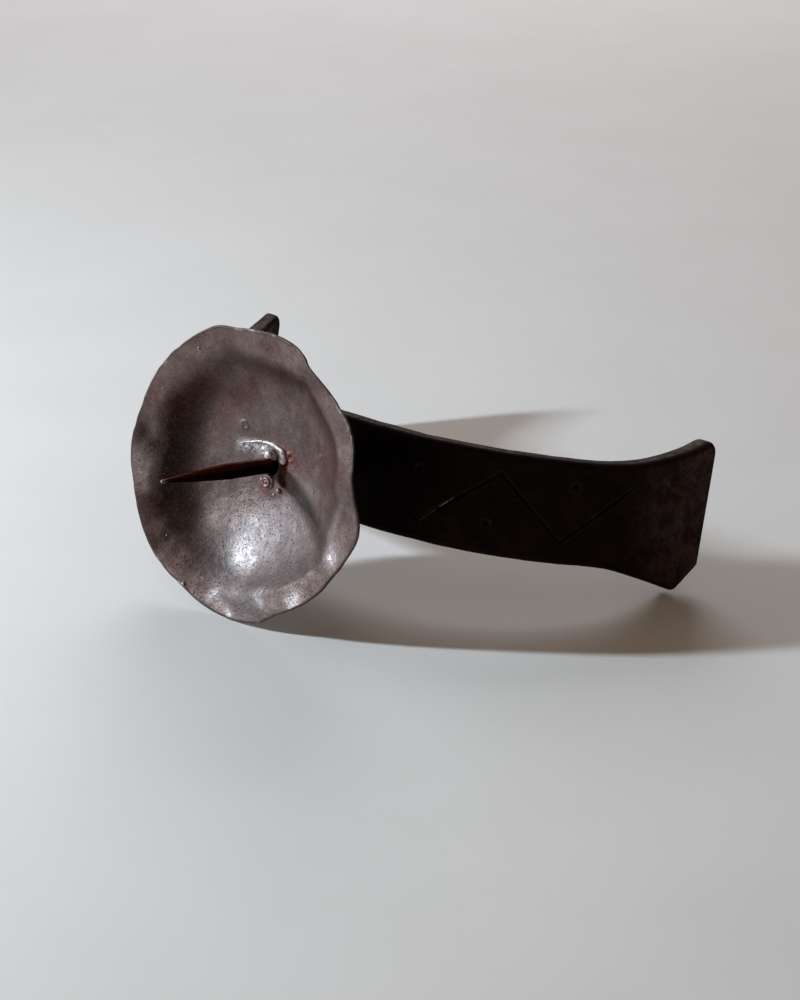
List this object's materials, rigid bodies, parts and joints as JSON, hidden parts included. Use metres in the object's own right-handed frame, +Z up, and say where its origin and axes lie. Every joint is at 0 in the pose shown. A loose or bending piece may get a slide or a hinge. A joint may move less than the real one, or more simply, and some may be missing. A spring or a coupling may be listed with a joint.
{
  "type": "candle holder",
  "caption": "Forged candle holder lying on its side: bent flat-bar arch with spread feet, short stem, hammered drip pan with a wavy rim and a square pricket.",
  "frame": {"origin": "on the ground, under the middle of the holder's box as it lies on its side", "axes": "+Z up from the ground, X along the span of the two feet, the pricket points to -Y and slightly up"},
  "size_m": [0.1752, 0.129, 0.0805],
  "materials": {
    "strap_iron": "blackened forged iron with a faint red cast, satin, worn grey on the edges",
    "pan_iron": "hammered steel with a thin brown-purple patina, satin to glossy, pitted",
    "pricket_iron": "blackened forged iron with red-brown edges, satin",
    "weld_metal": "bare weld beads with a rust-red tint"
  },
  "bodies": {
    "root": {"arch_strap": "strap_iron", "drip_pan": "pan_iron", "pricket": "pricket_iron", "weld_tacks": "weld_metal"}
  },
  "joints": []
}
